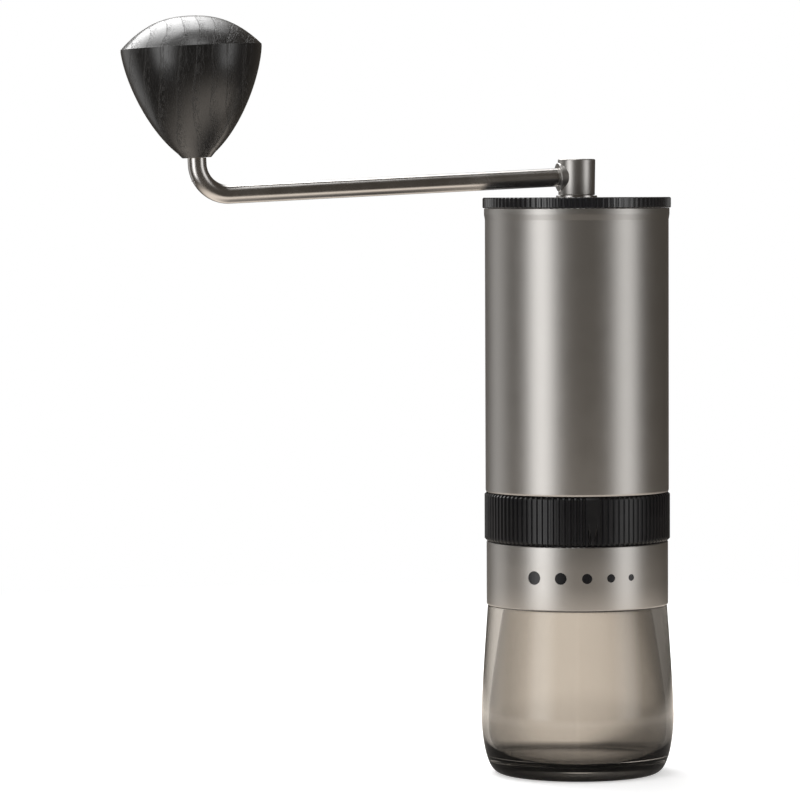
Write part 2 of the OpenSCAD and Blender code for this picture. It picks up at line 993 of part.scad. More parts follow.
module knob() {
    cone = [for (d = spaced(knob_cone_h - knob_foot_h, 0, 16)) [knob_cone(d), knob_rim - d]];
    dome = [for (i = [1:12]) let (r = knob_r * (1 - i / 12)) [r, knob_rim + knob_dome(r)]];
    color([0.16, 0.15, 0.14])
        at_knob()
            difference() {
                rotate_extrude()
                    polygon(concat([[0, knob_base], [knob_foot_r, knob_base]], cone, dome));
                translate([0, 0, knob_base - 1])
                    cylinder(r = knob_bore_r, h = knob_bore_end - knob_base + 1);
            }
}

module knob_bush() {
    color([0.72, 0.6, 0.35])
        at_knob()
            translate([0, 0, knob_base])
                tube(knob_bore_r, axle_r + fit, axle_shoulder - 0.1 - knob_base);
}

jar();
jar_seal();
foot_pad();
base_ring();
scale_dots();
base_lock_ring();
adjust_ring();
detent_ball();
detent_spring();
inner_frame();
frame_screws();
body_tube();
burr_carrier();
carrier_pins();
carrier_spring();
outer_burr();
outer_burr_screws();
lower_bridge();
lower_outer_race();
lower_balls();
lower_inner_race();
upper_bridge();
upper_outer_race();
upper_balls();
upper_inner_race();
bridge_retaining_ring();
drive_shaft();
shaft_circlip();
shaft_spacer();
inner_burr();
burr_washer();
burr_nut();
lid();
lid_bush();
lid_seal();
lid_clip();
crank_hub();
hub_cap();
hub_set_screw();
crank_arm();
knob_axle();
knob();
knob_bush();
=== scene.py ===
"""Hand crank coffee grinder, laid out as an add-on: its looks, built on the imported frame."""
import json
import math

import bpy
from bpy.props import FloatProperty, FloatVectorProperty, IntProperty, PointerProperty
from mathutils import Matrix, Vector


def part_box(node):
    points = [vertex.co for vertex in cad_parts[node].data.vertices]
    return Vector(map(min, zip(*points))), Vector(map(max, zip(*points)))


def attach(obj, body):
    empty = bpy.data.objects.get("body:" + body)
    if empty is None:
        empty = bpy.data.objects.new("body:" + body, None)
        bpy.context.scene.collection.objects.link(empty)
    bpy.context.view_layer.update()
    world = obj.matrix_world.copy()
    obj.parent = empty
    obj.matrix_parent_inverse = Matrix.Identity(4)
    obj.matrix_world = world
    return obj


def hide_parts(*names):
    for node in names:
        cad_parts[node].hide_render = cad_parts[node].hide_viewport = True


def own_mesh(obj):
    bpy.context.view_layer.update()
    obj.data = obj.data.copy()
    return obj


bl_info = {
    "name": "Hand crank coffee grinder",
    "version": (1, 0, 0),
    "blender": (4, 5, 0),
    "location": "View3D > Sidebar > Grinder",
    "description": "Builds the finished pieces of a hand coffee grinder on its frame",
    "category": "Add Mesh",
}

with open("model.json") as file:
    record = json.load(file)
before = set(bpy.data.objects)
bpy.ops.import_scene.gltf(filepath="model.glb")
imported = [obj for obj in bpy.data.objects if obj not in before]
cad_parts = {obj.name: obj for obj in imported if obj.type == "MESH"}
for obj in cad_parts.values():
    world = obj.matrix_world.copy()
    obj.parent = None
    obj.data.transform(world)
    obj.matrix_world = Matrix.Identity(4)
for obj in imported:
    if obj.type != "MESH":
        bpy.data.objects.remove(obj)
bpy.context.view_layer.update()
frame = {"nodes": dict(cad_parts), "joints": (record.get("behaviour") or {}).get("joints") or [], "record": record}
MM = 0.001
TURN = 2 * math.pi
TOUCH = 0.1 * MM
RING_RIB_STEPS = 12
LID_TOOTH_STEPS = 8
FRAME_NODES = frame["nodes"]


# ---- levels and radii taken from the frame ----

def foot(node):
    """Height of a node's lowest point."""
    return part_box(node)[0].z


def head(node):
    """Height of a node's highest point."""
    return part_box(node)[1].z


def reach(node):
    """Outer radius of a round node on the grinder's axis."""
    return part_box(node)[1].y


def rod_frame():
    """Matrix at the rod's elbow: X runs out along the rod and Z up the knob's axis."""
    spin = next(j for j in frame["joints"] if j["name"] == "knob_spin")
    up = Vector(spin["axis"]).normalized()
    lean = Vector((up.x, up.y, 0))
    out = lean.normalized() * up.z - Vector((0, 0, lean.length))
    turn = Matrix((out, up.cross(out), up)).transposed().to_4x4()
    return Matrix.Translation(Vector(spin["pos_m"])) @ turn


ROD = rod_frame()


def rod_length():
    """Distance along the rod from the grinder's axis to the knob's axis."""
    return ROD.translation.xy.length / ROD.col[0].xy.length


# ---- sizes and colours ----

class GrinderSizes(bpy.types.PropertyGroup):
    """Sizes of the finish that the frame leaves open"""

    turning_steps: IntProperty(
        name="Turning steps", description="Facets round a turned piece",
        default=192, min=48, max=256)
    edge_round: FloatProperty(
        name="Edge rounding", description="Radius of a broken metal edge",
        default=0.25 * MM, min=0.05 * MM, max=0.6 * MM, unit="LENGTH", precision=5)
    rib_count: IntProperty(
        name="Ribs", description="Ribs round the adjust ring and teeth round the lid",
        default=100, min=60, max=120)
    rib_depth: FloatProperty(
        name="Rib depth", description="Depth of the grooves between the adjust ring's ribs",
        default=0.5 * MM, min=0.2 * MM, max=0.8 * MM, unit="LENGTH", precision=5)
    tooth_depth: FloatProperty(
        name="Tooth depth", description="Depth of the grooves round the lid",
        default=0.5 * MM, min=0.1 * MM, max=0.6 * MM, unit="LENGTH", precision=5)
    pointer_angle: FloatProperty(
        name="Pointer angle", description="Turn of the adjust ring's pointer from the front",
        default=math.radians(7.2), min=-0.6, max=0.6, subtype="ANGLE")
    dot_first: FloatProperty(
        name="First dot", description="Diameter of the widest dot",
        default=3.8 * MM, min=2 * MM, max=5 * MM, unit="LENGTH", precision=5)
    dot_last: FloatProperty(
        name="Last dot", description="Diameter of the narrowest dot",
        default=1.9 * MM, min=1 * MM, max=3 * MM, unit="LENGTH", precision=5)
    dot_gap: FloatProperty(
        name="Dot gap", description="Gap between two dots' edges along the ring",
        default=4.3 * MM, min=2 * MM, max=6 * MM, unit="LENGTH", precision=5)
    dot_start: FloatProperty(
        name="Dot start", description="Middle of the first dot along the ring from the front",
        default=-13.6 * MM, min=-20 * MM, max=0, unit="LENGTH", precision=5)
    dot_height: FloatProperty(
        name="Dot height", description="Height of the dots above the base ring's lower edge",
        default=9.3 * MM, min=4 * MM, max=14 * MM, unit="LENGTH", precision=5)
    dot_sink: FloatProperty(
        name="Dot sink", description="How far the enamel lies below the ring's surface",
        default=0.06 * MM, min=0, max=0.3 * MM, unit="LENGTH", precision=5)
    jar_wall: FloatProperty(
        name="Jar wall", description="Thickness of the glass above the floor",
        default=2.1 * MM, min=1.5 * MM, max=3 * MM, unit="LENGTH", precision=5)
    rod_radius: FloatProperty(
        name="Rod radius", description="Radius of the crank's rod",
        default=2.6 * MM, min=2 * MM, max=3 * MM, unit="LENGTH", precision=5)
    bend_radius: FloatProperty(
        name="Bend radius", description="Radius of the rod's elbow at its middle line",
        default=8.7 * MM, min=7 * MM, max=10 * MM, unit="LENGTH", precision=5)
    camera_distance: FloatProperty(
        name="Camera distance", description="From the grinder's axis to the camera",
        default=1.19, min=0.8, max=2, unit="LENGTH")
    camera_roll: FloatProperty(
        name="Camera roll", description="Roll of the camera to the right",
        default=math.radians(0.22), min=-0.05, max=0.05, subtype="ANGLE")
    camera_height: FloatProperty(
        name="Camera height", description="Height of the camera above the table",
        default=0.163, min=0.05, max=0.4, unit="LENGTH")


def colour(name, description, value):
    """A colour property with its default."""
    return FloatVectorProperty(
        name=name, description=description, subtype="COLOR", size=4, min=0, max=1, default=(*value, 1))


class GrinderColours(bpy.types.PropertyGroup):
    """Colours of the finishes"""

    steel: colour("Satin steel", "Blasted shells and hub", (0.57, 0.555, 0.535))
    rod: colour("Polished steel", "Crank rod", (0.66, 0.64, 0.62))
    alloy: colour("Alloy", "Turned frame parts", (0.62, 0.62, 0.63))
    brass: colour("Brass", "Burr carrier and knob bush", (0.62, 0.44, 0.2))
    ring: colour("Black ring", "Anodised adjust ring", (0.006, 0.006, 0.007))
    lid: colour("Black lid", "Moulded lid", (0.008, 0.008, 0.010))
    enamel: colour("Enamel", "Filled scale dots", (0.008, 0.008, 0.009))
    rubber: colour("Rubber", "Seals and foot pad", (0.012, 0.012, 0.012))
    glass: colour("Smoked glass", "Grounds jar", (0.802, 0.76, 0.706))
    wood: colour("Stained wood", "Dark bands of the knob", (0.0035, 0.0035, 0.004))
    pores: colour("Wood pores", "Pale lines of the open grain", (0.018, 0.017, 0.016))
    table: colour("Table", "Pale floor", (0.9, 0.9, 0.9))
    # painted reflection: the table's look in metal only, warmer than the table's own colour
    floor_reflection_tint: colour("Warm floor", "What the metal mirrors of the table", (0.92, 0.83, 0.735))
    haze: colour("Haze", "What the glass shows behind the grinder", (0.95, 0.91, 0.86))


# ---- modelling helpers ----

def deselect():
    """Leave edit mode with nothing selected."""
    if bpy.context.mode != "OBJECT":
        bpy.ops.object.mode_set(mode="OBJECT")
    bpy.ops.object.select_all(action="DESELECT")


def pick(piece):
    """Select one piece alone and make it active."""
    deselect()
    bpy.context.view_layer.objects.active = piece
    piece.select_set(True)


def named(name):
    """Name the new object and its mesh, and return the object."""
    piece = bpy.context.object
    piece.name = name
    piece.data.name = name
    return piece


def rounded(corners, parts=4):
    """Outline through (radius, height, fillet) corners, each fillet drawn as an arc of short steps."""
    points = []
    count = len(corners)
    for i, (r, z, fillet) in enumerate(corners):
        here = Vector((r, z))
        if fillet <= 0:
            points.append(here)
            continue
        before = Vector(corners[i - 1][:2]) - here
        after = Vector(corners[(i + 1) % count][:2]) - here
        half = before.angle(after) / 2
        room = min(fillet / math.tan(half), before.length * 0.49, after.length * 0.49)
        start = here + before.normalized() * room
        end = here + after.normalized() * room
        for k in range(parts + 1):
            t = k / parts
            points.append(start * (1 - t) ** 2 + here * 2 * t * (1 - t) + end * t ** 2)
    return [(p.x, p.y) for p in points]


def turned(name, outline, steps, closed=False):
    """Spin an outline of (radius, height) points round Z; a closed outline makes a hollow ring."""
    deselect()
    bpy.ops.mesh.primitive_plane_add(size=MM)
    piece = named(name)
    bpy.ops.object.mode_set(mode="EDIT")
    bpy.ops.mesh.merge(type="CENTER")
    r, z = outline[0]
    bpy.ops.transform.translate(value=(r, 0, z))
    for next_r, next_z in outline[1:]:
        step = (next_r - r, 0, next_z - z)
        bpy.ops.mesh.extrude_region_move(TRANSFORM_OT_translate={"value": step})
        r, z = next_r, next_z
    if closed:
        bpy.ops.object.mode_set(mode="OBJECT")
        ends = (0, len(piece.data.vertices) - 1)
        for vertex in piece.data.vertices:
            vertex.select = vertex.index in ends
        bpy.ops.object.mode_set(mode="EDIT")
        bpy.ops.mesh.edge_face_add()
    bpy.ops.mesh.select_all(action="SELECT")
    bpy.ops.mesh.spin(steps=steps, angle=TURN, center=(0, 0, 0), axis=(0, 0, 1))
    tidy_mesh()
    return piece


def tidy_mesh():
    """Merge doubles and turn every face outwards."""
    if bpy.context.mode != "EDIT_MESH":
        bpy.ops.object.mode_set(mode="EDIT")
    bpy.ops.mesh.select_all(action="SELECT")
    bpy.ops.mesh.remove_doubles(threshold=1e-6)
    bpy.ops.mesh.normals_make_consistent(inside=False)
    bpy.ops.object.mode_set(mode="OBJECT")


def smooth(piece, degrees=35):
    """Shade a piece smooth, with edges kept where faces meet at more than the angle."""
    pick(piece)
    bpy.ops.object.shade_smooth_by_angle(angle=math.radians(degrees))


def place(piece, matrix):
    """Move a piece's mesh by a matrix and leave its object at the origin."""
    pick(piece)
    piece.matrix_world = matrix
    bpy.ops.object.transform_apply(location=True, rotation=True, scale=True)


def joined(pieces):
    """Join pieces into the first."""
    deselect()
    for piece in pieces:
        piece.select_set(True)
    bpy.context.view_layer.objects.active = pieces[0]
    bpy.ops.object.join()
    return pieces[0]


def boolean(piece, cutter, operation):
    """Cut a piece with another, which is used up."""
    pick(piece)
    cut = piece.modifiers.new("cut", "BOOLEAN")
    cut.operation = operation
    cut.solver = "EXACT"
    cut.object = cutter
    bpy.ops.object.modifier_apply(modifier=cut.name)
    bpy.data.objects.remove(cutter)


def push_in(piece, depth, share_at):
    """Move each vertex towards the axis by the share of the depth that share_at(x, y, z) gives."""
    pick(piece)
    radius = max(math.hypot(v.co.x, v.co.y) for v in piece.data.vertices)
    shares = [round(share_at(*v.co), 2) for v in piece.data.vertices]
    for share in sorted(set(shares) - {0}):
        bpy.ops.object.mode_set(mode="EDIT")
        bpy.ops.mesh.select_all(action="DESELECT")
        bpy.ops.object.mode_set(mode="OBJECT")
        for vertex, its_share in zip(piece.data.vertices, shares):
            vertex.select = its_share == share
        bpy.ops.object.mode_set(mode="EDIT")
        scale = 1 - depth * share / radius
        bpy.ops.transform.resize(value=(scale, scale, 1), center_override=(0, 0, 0))
    bpy.ops.object.mode_set(mode="OBJECT")


def rib_share(turn, pitch):
    """Share of a groove's depth at a turn from the middle of a rib: 1 in the groove, 0 on the rib."""
    groove_edge, flank = 0.31, 0.13
    off = abs(turn % pitch - pitch / 2) / pitch
    return max(0.0, min(1.0, (groove_edge - off) / flank))


def finish_piece(piece, material, body, slot, *nodes):
    """Give a piece its material and its body, and hide the frame nodes that it stands for; the slot is not used.
    """
    piece.data.materials.clear()
    piece.data.materials.append(material)
    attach(piece, body)
    if nodes:
        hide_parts(*nodes)
    return piece


# ---- node helpers ----

def add_node(tree, kind, inputs=(), **settings):
    """Add a node, set its settings, and link or set its inputs from (name, value) pairs."""
    made = tree.nodes.new(kind)
    for key, value in settings.items():
        setattr(made, key, value)
    for name, value in inputs:
        socket = made.inputs[name]
        if isinstance(value, bpy.types.NodeSocket):
            tree.links.new(value, socket)
        else:
            socket.default_value = value
    return made


def calc(tree, operation, *values):
    """A math node's result."""
    pairs = list(enumerate(values))
    return add_node(tree, "ShaderNodeMath", pairs, operation=operation).outputs[0]


def span(tree, value, low, high, to_low, to_high, course="LINEAR"):
    """A value mapped from one range to another and kept inside it."""
    pairs = [("Value", value), ("From Min", low), ("From Max", high), ("To Min", to_low), ("To Max", to_high)]
    return add_node(tree, "ShaderNodeMapRange", pairs, interpolation_type=course).outputs["Result"]


def eased(tree, value, low, high, to_low=0, to_high=1):
    """A smooth step from one value at low to another at high."""
    return span(tree, value, low, high, to_low, to_high, "SMOOTHSTEP")


def mixed(tree, factor, first, second):
    """Two colours mixed by a factor."""
    made = add_node(tree, "ShaderNodeMix", data_type="RGBA")
    for index, value in ((0, factor), (6, first), (7, second)):
        if isinstance(value, bpy.types.NodeSocket):
            tree.links.new(value, made.inputs[index])
        else:
            made.inputs[index].default_value = value
    return made.outputs[2]


def noise(tree, vector, scale, detail=2.0, rough=0.5):
    """A noise value at a scale in features per metre."""
    pairs = [("Vector", vector), ("Scale", scale), ("Detail", detail), ("Roughness", rough)]
    return add_node(tree, "ShaderNodeTexNoise", pairs).outputs["Fac"]


def new_group(name, inputs, outputs):
    """An empty node group with float inputs (name, default) and outputs (name, type)."""
    tree = bpy.data.node_groups.new(name, "ShaderNodeTree")
    for label, value in inputs:
        socket = tree.interface.new_socket(label, in_out="INPUT", socket_type="NodeSocketFloat")
        socket.default_value = value
    for label, kind in outputs:
        tree.interface.new_socket(label, in_out="OUTPUT", socket_type=kind)
    ends = tree.nodes.new("NodeGroupInput"), tree.nodes.new("NodeGroupOutput")
    return tree, *ends


def object_coordinates(tree):
    """The object coordinates socket."""
    return tree.nodes.new("ShaderNodeTexCoord").outputs["Object"]


def blasted_grain_group():
    """Fine bead-blasted grain: a height, a roughness shift and a slow mottling."""
    tree, _, out = new_group(
        "Blasted grain", [],
        [("Height", "NodeSocketFloat"), ("Shift", "NodeSocketFloat"), ("Mottle", "NodeSocketFloat")])
    where = object_coordinates(tree)
    fine = noise(tree, where, 3000, 3, 0.7)
    slow = noise(tree, where, 170, 3, 0.55)
    tree.links.new(fine, out.inputs["Height"])
    tree.links.new(calc(tree, "SUBTRACT", fine, 0.5), out.inputs["Shift"])
    tree.links.new(slow, out.inputs["Mottle"])
    return tree


def turning_lines_group():
    """Fine lathe lines: bands along the height and rings across a flat face."""
    tree, ins, out = new_group(
        "Turning lines", [("Pitch", 0.18 * MM)], [("Height", "NodeSocketFloat"), ("Wear", "NodeSocketFloat")])
    where = object_coordinates(tree)
    parts = add_node(tree, "ShaderNodeSeparateXYZ", [("Vector", where)]).outputs
    flat = add_node(tree, "ShaderNodeCombineXYZ", [("X", parts["X"]), ("Y", parts["Y"])]).outputs[0]
    radius = add_node(tree, "ShaderNodeVectorMath", [(0, flat)], operation="LENGTH").outputs["Value"]
    along = calc(tree, "ADD", radius, parts["Z"])
    steps = calc(tree, "DIVIDE", along, ins.outputs["Pitch"])
    line = add_node(tree, "ShaderNodeTexNoise", [("W", steps), ("Scale", 1.0), ("Detail", 1.0)],
                    noise_dimensions="1D").outputs["Fac"]
    tree.links.new(line, out.inputs["Height"])
    tree.links.new(noise(tree, where, 90, 3), out.inputs["Wear"])
    return tree


def open_grain_group():
    """Open grained wood: wavy growth planes across X, each with a row of long pores beside it."""
    sway_width = 10 * MM
    year_width = 4.6 * MM
    pores_per_metre = (3600, 1500, 170)
    tree, _, out = new_group(
        "Open grain", [],
        [("Lines", "NodeSocketFloat"), ("Pores", "NodeSocketFloat"), ("Height", "NodeSocketFloat")])
    where = object_coordinates(tree)
    parts = add_node(tree, "ShaderNodeSeparateXYZ", [("Vector", where)]).outputs
    sway = calc(tree, "MULTIPLY", calc(tree, "SUBTRACT", noise(tree, where, 34, 2), 0.5), sway_width)
    across = calc(tree, "ADD", parts["X"], sway)
    year = calc(tree, "FRACT", calc(tree, "DIVIDE", across, year_width))
    lines = calc(tree, "MULTIPLY", eased(tree, year, 0.0, 0.03), span(tree, year, 0.06, 0.12, 1, 0))
    early = calc(tree, "MULTIPLY", eased(tree, year, 0.0, 0.05), span(tree, year, 0.12, 0.55, 1, 0.12))
    ways = (across, parts["Y"], parts["Z"])
    drawn = add_node(tree, "ShaderNodeCombineXYZ", [
        (axis, calc(tree, "MULTIPLY", way, count))
        for axis, way, count in zip("XYZ", ways, pores_per_metre)]).outputs[0]
    streak = noise(tree, drawn, 1.0, 3, 0.6)
    pores = calc(tree, "MULTIPLY", eased(tree, streak, 0.5, 0.62), early)
    broken = calc(tree, "MULTIPLY", lines, span(tree, streak, 0.36, 0.6, 0.2, 0.8))
    tree.links.new(broken, out.inputs["Lines"])
    tree.links.new(pores, out.inputs["Pores"])
    tree.links.new(calc(tree, "SUBTRACT", 1, calc(tree, "MAXIMUM", pores, broken)), out.inputs["Height"])
    return tree


def group_in(tree, group, inputs=()):
    """Place a node group in a material's tree."""
    made = add_node(tree, "ShaderNodeGroup", node_tree=group)
    for name, value in inputs:
        made.inputs[name].default_value = value
    return made.outputs


def surface(name, base, **values):
    """A new material with its principled shader, which has the given colour and constants."""
    material = bpy.data.materials.new(name)
    material.use_nodes = True
    tree = material.node_tree
    shader = tree.nodes["Principled BSDF"]
    shader.inputs["Base Color"].default_value = base
    for key, value in values.items():
        shader.inputs[key.replace("_", " ")].default_value = value
    return material, tree, shader


def bump(tree, shader, height, distance, strength=1.0):
    """Link a height to the shader's normal."""
    pairs = [("Height", height), ("Distance", distance), ("Strength", strength)]
    made = add_node(tree, "ShaderNodeBump", pairs)
    tree.links.new(made.outputs["Normal"], shader.inputs["Normal"])


def shade(value, factor):
    """A colour made lighter or darker."""
    return (*(min(1, c * factor) for c in value[:3]), 1)


# ---- materials ----

# the part of a slow noise's range that holds nearly all of its values
MOTTLE_RANGE = (0.3, 0.7)


def satin_steel(colours, grain):
    """Bead-blasted steel of the shells."""
    rough = 0.37
    material, tree, shader = surface("Satin steel", colours.steel, Metallic=1.0, Roughness=rough)
    parts = group_in(tree, grain)
    mottle = span(tree, parts["Mottle"], *MOTTLE_RANGE, 0, 1)
    worn = mixed(tree, mottle, shade(colours.steel, 0.975), colours.steel)
    tree.links.new(worn, shader.inputs["Base Color"])
    slow = span(tree, parts["Mottle"], *MOTTLE_RANGE, rough - 0.01, rough + 0.01)
    fine = calc(tree, "MULTIPLY", parts["Shift"], 0.12)
    tree.links.new(calc(tree, "ADD", slow, fine), shader.inputs["Roughness"])
    bump(tree, shader, parts["Height"], 0.014 * MM, 0.9)
    return material


def turned_metal(name, base, rough, lines, pitch, depth):
    """Metal with fine lathe lines."""
    material, tree, shader = surface(name, base, Metallic=1.0, Roughness=rough)
    parts = group_in(tree, lines, [("Pitch", pitch)])
    tone = mixed(tree, parts["Wear"], shade(base, 0.82), shade(base, 1.08))
    tree.links.new(tone, shader.inputs["Base Color"])
    worn = span(tree, parts["Wear"], *MOTTLE_RANGE, rough * 0.8, rough * 1.25)
    tree.links.new(worn, shader.inputs["Roughness"])
    bump(tree, shader, parts["Height"], depth)
    return material


def grained(name, base, rough, grain, depth=0.012 * MM, **values):
    """Dark plastic, rubber or coated metal with a fine grain."""
    material, tree, shader = surface(name, base, Roughness=rough, **values)
    parts = group_in(tree, grain)
    tone = mixed(tree, parts["Mottle"], shade(base, 0.75), shade(base, 1.25))
    tree.links.new(tone, shader.inputs["Base Color"])
    worn = span(tree, parts["Mottle"], *MOTTLE_RANGE, rough * 0.88, rough * 1.12)
    tree.links.new(worn, shader.inputs["Roughness"])
    bump(tree, shader, parts["Height"], depth)
    return material


def stained_wood(colours, grain):
    """Black stained open-grain wood under a satin lacquer."""
    material, tree, shader = surface(
        "Black stained wood", colours.wood, Roughness=0.36, Coat_Weight=0.8, Coat_Roughness=0.2, Coat_IOR=1.6)
    parts = group_in(tree, grain)
    marks = calc(tree, "MAXIMUM", parts["Pores"], parts["Lines"])
    tree.links.new(mixed(tree, marks, colours.wood, colours.pores), shader.inputs["Base Color"])
    tree.links.new(span(tree, marks, 0, 1, 0.33, 0.6), shader.inputs["Roughness"])
    tree.links.new(span(tree, marks, 0, 1, 0.8, 0.3), shader.inputs["Coat Weight"])
    bump(tree, shader, parts["Height"], 0.16 * MM, 0.85)
    return material


def smoked_glass(colours):
    """Smoked glass of the jar, which looks deeper where it is seen edge on."""
    material, tree, shader = surface(
        "Smoked glass", colours.glass, Roughness=0.015, IOR=1.5, Transmission_Weight=1.0)
    edge_on = add_node(tree, "ShaderNodeLayerWeight", [("Blend", 0.5)]).outputs["Facing"]
    streaks = noise(tree, object_coordinates(tree), 60, 1)
    clear = mixed(tree, streaks, shade(colours.glass, 0.985), colours.glass)
    deep = mixed(tree, eased(tree, edge_on, 0.02, 0.36), clear, shade(colours.glass, 0.62))
    rim = mixed(tree, eased(tree, edge_on, 0.5, 0.9), deep, shade(colours.glass, 0.12))
    tree.links.new(rim, shader.inputs["Base Color"])
    return material


def make_materials(colours):
    """Every finish, by the record's slot name."""
    grain = blasted_grain_group()
    lines = turning_lines_group()
    steel = colours.rod
    metals = [
        # slot, name, colour, roughness, pitch and depth of the lathe lines in mm
        ("polished_steel", "Polished steel", steel, 0.22, 0.4, 0),
        ("bearing_steel", "Ground bearing steel", steel, 0.14, 0.1, 0.0006),
        ("zinc_steel", "Zinc plated steel", shade(steel, 0.9), 0.27, 0.15, 0.002),
        ("burr_steel", "Burr steel", shade(steel, 0.6), 0.33, 0.12, 0.004),
        ("spring_steel", "Spring steel", shade(steel, 0.7), 0.24, 0.2, 0.001),
        ("frame_alloy", "Turned alloy", colours.alloy, 0.26, 0.16, 0.003),
        ("carrier_brass", "Turned brass", colours.brass, 0.24, 0.16, 0.003),
    ]
    finishes = {
        slot: turned_metal(name, base, rough, lines, pitch * MM, depth * MM)
        for slot, name, base, rough, pitch, depth in metals}
    finishes.update({
        "satin_steel": satin_steel(colours, grain),
        "black_ring": grained("Black anodised", colours.ring, 0.32, grain),
        "black_lid": grained(
            "Black moulded plastic", colours.lid, 0.3, grain, Coat_Weight=1.0, Coat_Roughness=0.18),
        "dot_black": grained("Black enamel", colours.enamel, 0.22, grain, depth=0.004 * MM),
        "black_rubber": grained("Black silicone", colours.rubber, 0.55, grain, depth=0.02 * MM),
        "smoke_glass": smoked_glass(colours),
        "black_wood": stained_wood(colours, open_grain_group()),
    })
    return finishes


MATERIALS = {}


# ---- the pieces ----

# where each change in the table's look begins and ends, in metres from the grinder's axis
TABLE_END = (0.3, 0.6)
# painted shade: through the glass the table darkens towards the front, along Y
NEAR_TABLE_SHADE = (0.05, 0.55)
FOOT_SHADOW = (0.024, 0.045)
CONTACT_SHADOW = (0.03, 0.19)
MIRRORED_END = (0.12, 0.34)

# turns in radians over which the far side of the set falls off, and the share of light left there
DUSK_TURNS = (0.0, 0.36)
DUSK_SHARE = 0.3

# where a soft box fades, as shares of its width from its middle, and its brightness there
BOX_FADE = (0.05, 0.5)
BOX_MIDDLE = 1.4

# name, turn from the front in degrees, distance, height, width and height of the box, brightness
SOFT_BOXES = (
    ("key_softbox", -47, 0.8, 0.2, (0.70, 0.74), 1.45),
    ("fill_softbox", 61, 0.8, 0.2, (0.70, 0.74), 0.95),
    ("left_softbox", -118, 0.8, 0.2, (0.8, 0.9), 0.36),
    ("back_softbox", -152, 0.7, 0.92, (1.3, 0.9), 3.2),
    ("top_softbox", -20, 0.25, 0.85, (0.5, 0.5), 1.5),
)
LIGHT_AIM = Vector((0, 0, 0.11))

CAMERA_AIM = Vector((-0.0502, 0, 0.1062))
LENS_MM = 189
SENSOR_MM = 36


